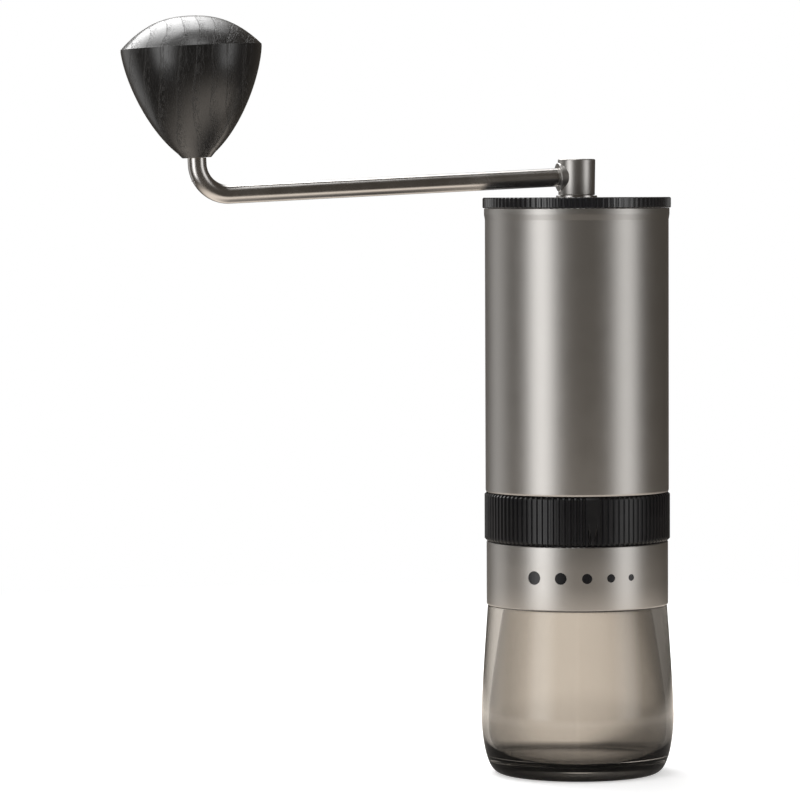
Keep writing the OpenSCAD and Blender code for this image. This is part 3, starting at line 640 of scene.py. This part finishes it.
class GRINDER_OT_stage(bpy.types.Operator):
    """Pale table, soft studio lights and the camera"""

    bl_idname = "grinder.stage"
    bl_label = "Stage"

    def execute(self, context):
        colours = context.scene.grinder_colours
        MATERIALS.update(make_materials(colours))
        self.table(colours)
        self.surroundings(context.scene)
        self.lights()
        self.camera(context.scene)
        return {"FINISHED"}

    def table(self, colours):
        """A wide table top that fades into the pale surroundings.

        It shows one look to the eye and as a light, one mirrored in metal as a painted reflection with a painted
        contact shadow, and one through glass with painted shade towards the front and a painted shadow under the
        foot.
        """
        deselect()
        bpy.ops.mesh.primitive_circle_add(vertices=128, radius=3, fill_type="NGON")
        table = named("table")
        material, tree, shader = surface("Pale table", colours.table, Roughness=0.8)
        shader.inputs["Emission Color"].default_value = (1, 1, 1, 1)
        shader.inputs["Emission Strength"].default_value = 0.45
        where = object_coordinates(tree)
        tone = mixed(tree, noise(tree, where, 12, 2), shade(colours.table, 0.99), shade(colours.table, 1.01))
        tree.links.new(tone, shader.inputs["Base Color"])
        away = add_node(tree, "ShaderNodeVectorMath", [(0, where)], operation="LENGTH").outputs["Value"]
        sides = add_node(tree, "ShaderNodeSeparateXYZ", [("Vector", where)]).outputs
        dusk = self.dusk(tree, where)
        path = tree.nodes.new("ShaderNodeLightPath")
        edge = add_node(tree, "ShaderNodeEmission", [("Color", (1, 1, 1, 1))])
        lit = self.either(tree, eased(tree, away, *TABLE_END), shader, edge)
        # painted shade and shadow seen through the glass: the table darkens towards the front and is black under
        # the jar's foot
        depth = mixed(tree, eased(tree, sides["Y"], *NEAR_TABLE_SHADE), shade(colours.haze, 0.78), colours.haze)
        under_foot = mixed(tree, span(tree, away, *FOOT_SHADOW, 0, 1), (0, 0, 0, 1), depth)
        seen = add_node(tree, "ShaderNodeEmission", [("Color", under_foot), ("Strength", dusk)])
        # painted reflection of the table for metal: a warm glow at strength 1.5, with a painted contact shadow
        # round the foot
        shadow = (0.08, 0.075, 0.07, 1)
        contact = mixed(tree, eased(tree, away, *CONTACT_SHADOW), shadow, colours.floor_reflection_tint)
        mirrored = add_node(tree, "ShaderNodeEmission", [("Color", contact), ("Strength", 1.5)])
        beyond = tree.nodes.new("ShaderNodeBsdfTransparent")
        gloss = self.either(tree, eased(tree, away, *MIRRORED_END), mirrored, beyond)
        solid = self.either(tree, path.outputs["Is Glossy Ray"], lit, gloss)
        both = self.either(tree, path.outputs["Is Transmission Ray"], solid, seen)
        tree.links.new(both.outputs[0], tree.nodes["Material Output"].inputs["Surface"])
        table.data.materials.append(material)

    def either(self, tree, factor, first, second):
        """A mix of two shaders."""
        pairs = [(0, factor), (1, first.outputs[0]), (2, second.outputs[0])]
        return add_node(tree, "ShaderNodeMixShader", pairs)

    def dusk(self, tree, where):
        """A share of light that falls off towards the right, past the back of the set."""
        sides = add_node(tree, "ShaderNodeSeparateXYZ", [("Vector", where)]).outputs
        turn = calc(tree, "ARCTAN2", sides["X"], sides["Y"])
        return eased(tree, turn, *DUSK_TURNS, 1, DUSK_SHARE)

    def surroundings(self, scene):
        """White around the table for the eye and through glass, and a dim studio in reflections."""
        world = bpy.data.worlds.new("Studio")
        world.use_nodes = True
        scene.world = world
        tree = world.node_tree
        back = tree.nodes["Background"]
        path = tree.nodes.new("ShaderNodeLightPath")
        dim = mixed(tree, path.outputs["Is Diffuse Ray"], (0.066, 0.057, 0.047, 1), (0.5, 0.5, 0.5, 1))
        where = tree.nodes.new("ShaderNodeTexCoord").outputs["Generated"]
        haze = mixed(tree, self.dusk(tree, where), (0, 0, 0, 1), scene.grinder_colours.haze)
        glass = mixed(tree, path.outputs["Is Transmission Ray"], dim, haze)
        tree.links.new(mixed(tree, path.outputs["Is Camera Ray"], glass, (1, 1, 1, 1)), back.inputs["Color"])
        back.inputs["Strength"].default_value = 1.0
        scene.view_settings.view_transform = "Standard"

    def lights(self):
        """Soft boxes: front left, front right, left, behind on the left and above."""
        for name, azimuth, distance, height, (wide, tall), brightness in SOFT_BOXES:
            turn = math.radians(azimuth)
            spot = Vector((distance * math.sin(turn), -distance * math.cos(turn), height))
            bpy.ops.object.light_add(type="AREA", location=spot)
            lamp = bpy.context.object
            lamp.name = name
            lamp.visible_camera = False
            lamp.visible_transmission = False
            lamp.data.shape = "RECTANGLE"
            lamp.data.size = wide
            lamp.data.size_y = tall
            lamp.data.energy = brightness * math.pi * wide * tall
            self.soften(lamp.data)
            lamp.rotation_euler = (LIGHT_AIM - spot).to_track_quat("-Z", "Y").to_euler()

    def soften(self, lamp):
        """Fade a soft box towards its sides."""
        lamp.use_nodes = True
        tree = lamp.node_tree
        across = tree.nodes.new("ShaderNodeNewGeometry").outputs["Parametric"]
        side = add_node(tree, "ShaderNodeSeparateXYZ", [("Vector", across)]).outputs["X"]
        off = calc(tree, "ABSOLUTE", calc(tree, "SUBTRACT", side, 0.5))
        fade = eased(tree, off, *BOX_FADE, BOX_MIDDLE, 0)
        tree.links.new(fade, tree.nodes["Emission"].inputs["Strength"])

    def camera(self, scene):
        """The camera, a long lens a little above the middle of the body."""
        sizes = scene.grinder_sizes
        bpy.ops.object.camera_add()
        camera = bpy.context.object
        camera.name = "camera"
        spot = Vector((CAMERA_AIM.x, -sizes.camera_distance, sizes.camera_height))
        camera.location = spot
        look = (CAMERA_AIM - spot).to_track_quat("-Z", "Y").to_euler()
        camera.rotation_euler = (look.to_matrix() @ Matrix.Rotation(-sizes.camera_roll, 3, "Z")).to_euler()
        camera.data.lens = LENS_MM
        camera.data.sensor_width = SENSOR_MM
        camera.data.clip_start = 0.05
        scene.camera = camera


class GRINDER_OT_jar(bpy.types.Operator):
    """Smoked glass jar and its foot pad"""

    bl_idname = "grinder.jar"
    bl_label = "Jar"

    def execute(self, context):
        sizes = context.scene.grinder_sizes
        steps = sizes.turning_steps
        jar = turned("jar_glass", self.outline(sizes), steps)
        smooth(jar, 40)
        finish_piece(jar, MATERIALS["smoke_glass"], "jar_unit", "smoke_glass", "jar")
        pad_r = reach("foot_pad")
        pad_top = head("foot_pad") + TOUCH
        pad = turned("foot_pad_disc", rounded([
            (0, 0, 0), (pad_r, 0, 0.3 * MM), (pad_r, pad_top, 0.1 * MM), (0, pad_top, 0)]), steps)
        smooth(pad)
        finish_piece(pad, MATERIALS["black_rubber"], "jar_unit", "black_rubber", "foot_pad")
        return {"FINISHED"}

    def outline(self, sizes):
        """Outer skin up from the foot, over the neck, and down the inside to the floor."""
        pad_top = head("foot_pad")
        foot_r = reach("foot_pad")
        foot_z = foot("jar")
        belly_r = reach("jar")
        belly_z = 16.6 * MM
        belly_bore = belly_r - sizes.jar_wall
        shoulder_r = 25.4 * MM
        top = foot("base_ring") - TOUCH
        neck_top = head("jar")
        bowl_rows, wall_rows = 24, 16
        neck_r = 23.4 * MM
        bore_r = 20.9 * MM
        floor_z = 3.6 * MM
        floor_r = 17 * MM

        def taper(z, low_r, high_r):
            flare = 1.25
            return low_r - (low_r - high_r) * ((z - belly_z) / (top - belly_z)) ** flare

        def outer(z):
            lift, swell = 1.7, 0.3
            if z < belly_z:
                return foot_r + (belly_r - foot_r) * (1 - (1 - z / belly_z) ** lift) ** swell
            return taper(z, belly_r, shoulder_r)

        def inner(z):
            if z < belly_z:
                rise = 1 - ((belly_z - z) / (belly_z - floor_z)) ** 3
                return floor_r + (belly_bore - floor_r) * max(0, rise) ** (1 / 3)
            return taper(z, belly_bore, bore_r)

        lower = [foot_z + (belly_z - foot_z) * (i / bowl_rows) ** 2 for i in range(bowl_rows + 1)]
        upper = [belly_z + (top - 0.5 * MM - belly_z) * i / wall_rows for i in range(1, wall_rows + 1)]
        skin = [(outer(z), z) for z in lower + upper]
        shoulder = rounded([
            (shoulder_r, top - 0.4 * MM, 0), (shoulder_r - 0.1 * MM, top, 0.3 * MM), (neck_r, top, 0),
            (neck_r, neck_top, 0.6 * MM), (bore_r, neck_top, 0.6 * MM), (bore_r, top + 0.5 * MM, 0)])
        down = [belly_z + (top - belly_z) * i / wall_rows for i in range(wall_rows, 0, -1)]
        bowl = [floor_z + (belly_z - floor_z) * (i / bowl_rows) ** 3 for i in range(bowl_rows, -1, -1)]
        inside = [(inner(z), z) for z in down + bowl]
        recess = [(0, pad_top), (foot_r, pad_top), (foot_r, foot_z)]
        return recess + skin + shoulder + inside + [(0, floor_z)]


class GRINDER_OT_base(bpy.types.Operator):
    """Steel base ring with its five enamelled dots"""

    bl_idname = "grinder.base"
    bl_label = "Base ring"

    def execute(self, context):
        sizes = context.scene.grinder_sizes
        low, top = foot("base_ring"), head("base_ring")
        wide = reach("base_ring")
        sleeve_r = reach("base_lock_ring") - 1.6 * MM
        socket_r = 23.75 * MM
        web_z = head("base_lock_ring")
        edge = 2 * sizes.edge_round
        ring = turned("base_shell", rounded([
            (socket_r, low, 0.1 * MM), (wide, low, edge), (wide, top, edge),
            (sleeve_r, top, 0.1 * MM), (sleeve_r, web_z, 0.1 * MM), (socket_r, web_z, 0)]),
            sizes.turning_steps, closed=True)
        self.band(ring, low + sizes.dot_height)
        boolean(ring, self.dot_pins(wide, low, sizes, 1), "DIFFERENCE")
        smooth(ring)
        finish_piece(ring, MATERIALS["satin_steel"], "housing", "satin_steel", "base_ring")
        skin = wide - sizes.dot_sink
        back = skin - 0.4 * MM
        enamel_low, enamel_top = low + 6 * MM, top - 5 * MM
        fit = 0.985
        dots = turned("dot_enamel", [
            (skin, enamel_low), (skin, enamel_top), (back, enamel_top), (back, enamel_low)],
            sizes.turning_steps, closed=True)
        boolean(dots, self.dot_pins(wide, low, sizes, fit), "INTERSECT")
        smooth(dots)
        finish_piece(dots, MATERIALS["dot_black"], "housing", "dot_black", "scale_dots")
        return {"FINISHED"}

    def band(self, ring, middle):
        """Cut across the ring just above and below the dots, so that they bend few faces."""
        pick(ring)
        bpy.ops.object.mode_set(mode="EDIT")
        for shift in (-2.3 * MM, 2.3 * MM):
            bpy.ops.mesh.select_all(action="SELECT")
            bpy.ops.mesh.bisect(plane_co=(0, 0, middle + shift), plane_no=(0, 0, 1))
        bpy.ops.object.mode_set(mode="OBJECT")

    def dot_pins(self, wide, low, sizes, fit):
        """Five round pins that point out from the axis, from the widest to the narrowest."""
        pins = []
        count = 5
        out = wide + 1 * MM
        arc = sizes.dot_start
        step = (sizes.dot_last - sizes.dot_first) / (count - 1)
        for i in range(count):
            size = sizes.dot_first + step * i
            turn = arc / wide
            deselect()
            bpy.ops.mesh.primitive_cylinder_add(
                vertices=64, radius=size / 2 * fit, depth=3 * MM, rotation=(TURN / 4, 0, turn),
                location=(out * math.sin(turn), -out * math.cos(turn), low + sizes.dot_height))
            pins.append(named(f"pin_{i}"))
            arc += size / 2 + sizes.dot_gap + (size + step) / 2
        return joined(pins)


class GRINDER_OT_adjust_ring(bpy.types.Operator):
    """Black ribbed adjust ring with its pointer"""

    bl_idname = "grinder.adjust_ring"
    bl_label = "Adjust ring"

    def execute(self, context):
        sizes = context.scene.grinder_sizes
        low, top = foot("adjust_ring"), head("adjust_ring")
        wide = max(reach("adjust_ring"), 26.3 * MM)
        bore = 21.95 * MM
        chamfer = 0.6 * MM
        shoulder = low + 0.46 * (top - low)
        row_count = 6
        rows = [low + chamfer + (shoulder - low - chamfer) * i / row_count for i in range(row_count + 1)]
        outline = [(bore, low), (wide - chamfer, low)] + [(wide, z) for z in rows]
        outline += [(wide, top - chamfer), (wide - chamfer, top), (bore, top)]
        ring = turned("ribbed_ring", outline, sizes.rib_count * RING_RIB_STEPS, closed=True)
        pitch = TURN / sizes.rib_count
        start = sizes.pointer_angle - TURN / 4

        def groove(x, y, z):
            if math.hypot(x, y) < wide - 1.5 * chamfer:
                return 0
            turn = (math.atan2(y, x) - start + TURN / 2) % TURN - TURN / 2
            share = rib_share(turn, pitch)
            if abs(turn) > pitch:
                return share
            below = (shoulder - z) / (shoulder - low)
            beside = (abs(turn) - pitch / 2) / pitch
            return share if below > 0 and beside > 0.3 - 0.7 * below else 0

        push_in(ring, sizes.rib_depth, groove)
        smooth(ring, 28)
        finish_piece(ring, MATERIALS["black_ring"], "adjuster", "black_ring", "adjust_ring")
        return {"FINISHED"}


class GRINDER_OT_body_tube(bpy.types.Operator):
    """Blasted steel body tube with its lip"""

    bl_idname = "grinder.body_tube"
    bl_label = "Body tube"

    def execute(self, context):
        sizes = context.scene.grinder_sizes
        low, top = foot("body_tube"), head("body_tube")
        wide = 26 * MM
        lip = reach("body_tube")
        bore = reach("inner_frame")
        hopper = bore - 0.6 * MM
        step_low = head("inner_frame") + 4 * MM
        step_high = head("upper_bridge") - 4 * MM
        edge = sizes.edge_round
        tube = turned("body_shell", rounded([
            (bore, low, 0), (wide - 0.1 * MM, low, edge), (wide, low + 0.6 * MM, edge),
            (wide, top - 3.3 * MM, 0.9 * MM), (lip, top - 1.7 * MM, 0.9 * MM), (lip, top, 0.3 * MM),
            (bore, top, 0.3 * MM), (bore, step_high, 0), (hopper, step_high, 0),
            (hopper, step_low, 0), (bore, step_low, 0)]), sizes.turning_steps, closed=True)
        smooth(tube)
        finish_piece(tube, MATERIALS["satin_steel"], "housing", "satin_steel", "body_tube")
        return {"FINISHED"}


class GRINDER_OT_lid(bpy.types.Operator):
    """Black lid with a toothed rim"""

    bl_idname = "grinder.lid"
    bl_label = "Lid"

    def execute(self, context):
        sizes = context.scene.grinder_sizes
        under, top = foot("lid"), head("lid")
        rim_z = head("body_tube") + 0.05 * MM
        wide = max(reach("lid"), 26.65 * MM)
        bush_r = 5.4 * MM
        boss_r = 8 * MM
        boss_z = foot("lid_bush")
        spigot_r, spigot_bore = 23.7 * MM, 21.5 * MM
        seal_z = (foot("lid_seal") + head("lid_seal")) / 2
        seal_low, seal_top = seal_z - 0.7 * MM, seal_z + 0.7 * MM
        seal_r = spigot_r - 1 * MM
        lid = turned("lid_disc", rounded([
            (bush_r, top, 0.1 * MM), (bush_r, boss_z, 0.2 * MM), (boss_r, boss_z, 0.4 * MM),
            (boss_r, rim_z, 0.6 * MM), (spigot_bore, rim_z, 0.6 * MM), (spigot_bore, under, 0.3 * MM),
            (spigot_r, under, 0.4 * MM), (spigot_r, seal_low, 0), (seal_r, seal_low, 0),
            (seal_r, seal_top, 0), (spigot_r, seal_top, 0), (spigot_r, rim_z, 0),
            (wide, rim_z, 0.35 * MM), (wide, top, 0.5 * MM)], parts=3),
            sizes.rib_count * LID_TOOTH_STEPS, closed=True)
        pitch = TURN / sizes.rib_count

        def groove(x, y, z):
            if z < rim_z - 0.01 * MM or math.hypot(x, y) < wide - 0.8 * MM:
                return 0
            return rib_share(math.atan2(y, x) + TURN, pitch)

        push_in(lid, sizes.tooth_depth, groove)
        smooth(lid, 28)
        finish_piece(lid, MATERIALS["black_lid"], "lid_unit", "black_lid", "lid")
        return {"FINISHED"}


class GRINDER_OT_crank(bpy.types.Operator):
    """Bent rod, hub with its cap, and the collar round the rod"""

    bl_idname = "grinder.crank"
    bl_label = "Crank"

    def execute(self, context):
        sizes = context.scene.grinder_sizes
        rod = self.rod(sizes)
        finish_piece(rod, MATERIALS["polished_steel"], "crank", "polished_steel", "crank_arm")
        hub = self.hub(sizes)
        finish_piece(hub, MATERIALS["satin_steel"], "crank", "satin_steel", "crank_hub", "hub_cap")
        boss = self.boss(sizes)
        finish_piece(boss, MATERIALS["satin_steel"], "crank", "satin_steel")
        return {"FINISHED"}

    def hub(self, sizes):
        """Turned hub with its neck, clip groove and blind socket for the shaft."""
        steps = 128
        hub_r = reach("crank_hub")
        top = head("hub_cap")
        low = head("lid") + 0.6 * MM
        neck_low = foot("crank_hub")
        neck_r = 4.6 * MM
        groove_r = 4.2 * MM
        socket_r = 3.5 * MM
        socket_end = head("drive_shaft") + 0.4 * MM
        clip_low, clip_top = foot("lid_clip"), head("lid_clip")
        hub = turned("hub_shell", rounded([
            (0, socket_end, 0), (socket_r, socket_end, 0), (socket_r, neck_low, 0.2 * MM),
            (neck_r, neck_low, 0.3 * MM), (neck_r, clip_low, 0), (groove_r, clip_low, 0),
            (groove_r, clip_top, 0), (neck_r, clip_top, 0), (neck_r, low, 0.1 * MM),
            (hub_r - 0.15 * MM, low, 0.3 * MM), (hub_r, top, 0.45 * MM), (0, top, 0)]), steps)
        smooth(hub)
        return hub

    def boss(self, sizes):
        """Spot-faced collar on the hub, round the rod."""
        steps = 96
        outside = reach("crank_hub") + 0.22 * MM
        inside = reach("crank_hub") - 1.8 * MM
        wide = 4.1 * MM
        bore = sizes.rod_radius
        lead_in = 0.15 * MM
        boss = turned("hub_boss", rounded([
            (bore, inside, 0), (wide, inside, 0), (wide, outside, 0.35 * MM),
            (bore + lead_in, outside, lead_in), (bore, outside - lead_in, 0)]), steps, closed=True)
        smooth(boss)
        along = Matrix.Translation((-rod_length(), 0, 0)) @ Matrix.Rotation(TURN / 4, 4, "Y")
        place(boss, ROD @ along)
        return boss

    def rod(self, sizes):
        """A round bar drawn out along the rod and spun round the elbow."""
        hidden_in_hub = 4 * MM
        start = hidden_in_hub - rod_length()
        bend = sizes.bend_radius
        stem_top = 10.5 * MM
        elbow_steps = 40
        deselect()
        bpy.ops.mesh.primitive_circle_add(
            vertices=64, radius=sizes.rod_radius, fill_type="NGON", rotation=(0, TURN / 4, 0),
            location=(start, 0, 0))
        rod = named("crank_rod")
        bpy.ops.object.transform_apply(location=True, rotation=True)
        bpy.ops.object.mode_set(mode="EDIT")
        bpy.ops.mesh.select_all(action="SELECT")
        straight = (-bend - start, 0, 0)
        bpy.ops.mesh.extrude_region_move(TRANSFORM_OT_translate={"value": straight})
        bpy.ops.mesh.spin(steps=elbow_steps, angle=TURN / 4, center=(-bend, 0, bend), axis=(0, 1, 0))
        bpy.ops.mesh.extrude_region_move(TRANSFORM_OT_translate={"value": (0, 0, stem_top - bend)})
        tidy_mesh()
        place(rod, ROD)
        smooth(rod, 40)
        return rod


class GRINDER_OT_knob(bpy.types.Operator):
    """Stained wooden knob with a domed top"""

    bl_idname = "grinder.knob"
    bl_label = "Knob"

    def execute(self, context):
        sizes = context.scene.grinder_sizes
        knob = turned("wooden_knob", self.outline(), sizes.turning_steps)
        smooth(knob, 32)
        place(knob, ROD)
        finish_piece(knob, MATERIALS["black_wood"], "knob_grip", "black_wood", "knob")
        return {"FINISHED"}

    def outline(self):
        """From the bore's end down and out, up the cone and over the dome, in the rod's own frame."""
        wide = 19.55 * MM
        base = 10.53 * MM
        cone_h = 30.6 * MM
        dome_h = 8.6 * MM
        bore_r = 3.3 * MM
        bore_end = 37 * MM
        bore_edge = 0.2 * MM
        cone_point = 32 * MM
        cone_belly, cone_root = 1.5, 0.64
        cone_rows, dome_rows = 48, 40
        dome_power = 2.4
        rim = base + cone_h
        flat = 4 * MM
        foot_h = 1.4 * MM
        side_h = cone_h - foot_h

        def cone(depth):
            return wide * (1 - (depth / cone_point) ** cone_belly) ** cone_root

        points = [(0, bore_end), (bore_r, bore_end), (bore_r, base + bore_edge), (bore_r + bore_edge, base)]
        points += rounded([
            (bore_r + 0.25 * MM, base, 0), (flat, base, 0.6 * MM), (cone(side_h), base + foot_h, 0)])[:-1]
        depths = [side_h * (1 - i / cone_rows) for i in range(cone_rows)]
        points += [(cone(depth), rim - depth) for depth in depths]
        points += [(wide - 0.06 * MM, rim + 0.02 * MM)]
        for i in range(1, dome_rows + 1):
            share = 1 - (i / dome_rows) ** 1.3
            points.append((wide * share * 0.997, rim + dome_h * (1 - share ** dome_power)))
        return points


class GRINDER_OT_works(bpy.types.Operator):
    """Finishes for the frame's own inner parts"""

    bl_idname = "grinder.works"
    bl_label = "Inner works"

    def execute(self, context):
        for part in frame["record"]["subparts"]:
            node = FRAME_NODES[part["node"]]
            node.data.materials.clear()
            node.data.materials.append(MATERIALS[part["material_slot"]])
        return {"FINISHED"}


class GRINDER_OT_spring(bpy.types.Operator):
    """Coil spring over the burr carrier, built as a fixed coil on the housing"""

    bl_idname = "grinder.spring"
    bl_label = "Carrier spring"

    def execute(self, context):
        low, top = foot("carrier_spring"), head("carrier_spring")
        wire_r = 0.5 * MM
        path_r = reach("carrier_spring") - wire_r
        turns = 3
        deselect()
        bpy.ops.mesh.primitive_circle_add(
            vertices=12, radius=wire_r, rotation=(TURN / 4, 0, 0), location=(path_r, 0, low + wire_r))
        coil = named("carrier_coil")
        bpy.ops.object.transform_apply(location=True, rotation=True)
        wind = coil.modifiers.new("wind", "SCREW")
        wind.axis = "Z"
        wind.angle = TURN * turns
        wind.screw_offset = top - low - 2 * wire_r
        wind.steps = wind.render_steps = 48 * turns
        bpy.ops.object.modifier_apply(modifier=wind.name)
        bpy.ops.object.mode_set(mode="EDIT")
        bpy.ops.mesh.select_all(action="DESELECT")
        bpy.ops.mesh.select_non_manifold()
        bpy.ops.mesh.edge_face_add()
        tidy_mesh()
        smooth(coil, 50)
        finish_piece(coil, MATERIALS["spring_steel"], "housing", "spring_steel", "carrier_spring")
        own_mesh(coil)
        return {"FINISHED"}


class GRINDER_PT_panel(bpy.types.Panel):
    """Sidebar panel that lists the grinder's operators"""

    bl_idname = "GRINDER_PT_panel"
    bl_label = "Grinder"
    bl_space_type = "VIEW_3D"
    bl_region_type = "UI"
    bl_category = "Grinder"

    def draw(self, context):
        for operator in OPERATORS:
            self.layout.operator(operator.bl_idname)


OPERATORS = (
    GRINDER_OT_stage,
    GRINDER_OT_works,
    GRINDER_OT_jar,
    GRINDER_OT_base,
    GRINDER_OT_adjust_ring,
    GRINDER_OT_body_tube,
    GRINDER_OT_lid,
    GRINDER_OT_crank,
    GRINDER_OT_knob,
    GRINDER_OT_spring,
)
CLASSES = (GrinderSizes, GrinderColours, *OPERATORS, GRINDER_PT_panel)


def register():
    """Register the classes and attach the property groups to the scene."""
    for cls in CLASSES:
        bpy.utils.register_class(cls)
    bpy.types.Scene.grinder_sizes = PointerProperty(type=GrinderSizes)
    bpy.types.Scene.grinder_colours = PointerProperty(type=GrinderColours)


def unregister():
    """Undo register."""
    del bpy.types.Scene.grinder_colours
    del bpy.types.Scene.grinder_sizes
    for cls in reversed(CLASSES):
        bpy.utils.unregister_class(cls)


def main():
    """Build the whole grinder."""
    register()
    bpy.ops.grinder.stage()
    bpy.ops.grinder.works()
    bpy.ops.grinder.jar()
    bpy.ops.grinder.base()
    bpy.ops.grinder.adjust_ring()
    bpy.ops.grinder.body_tube()
    bpy.ops.grinder.lid()
    bpy.ops.grinder.crank()
    bpy.ops.grinder.knob()
    bpy.ops.grinder.spring()


if __name__ == "__main__":
    main()
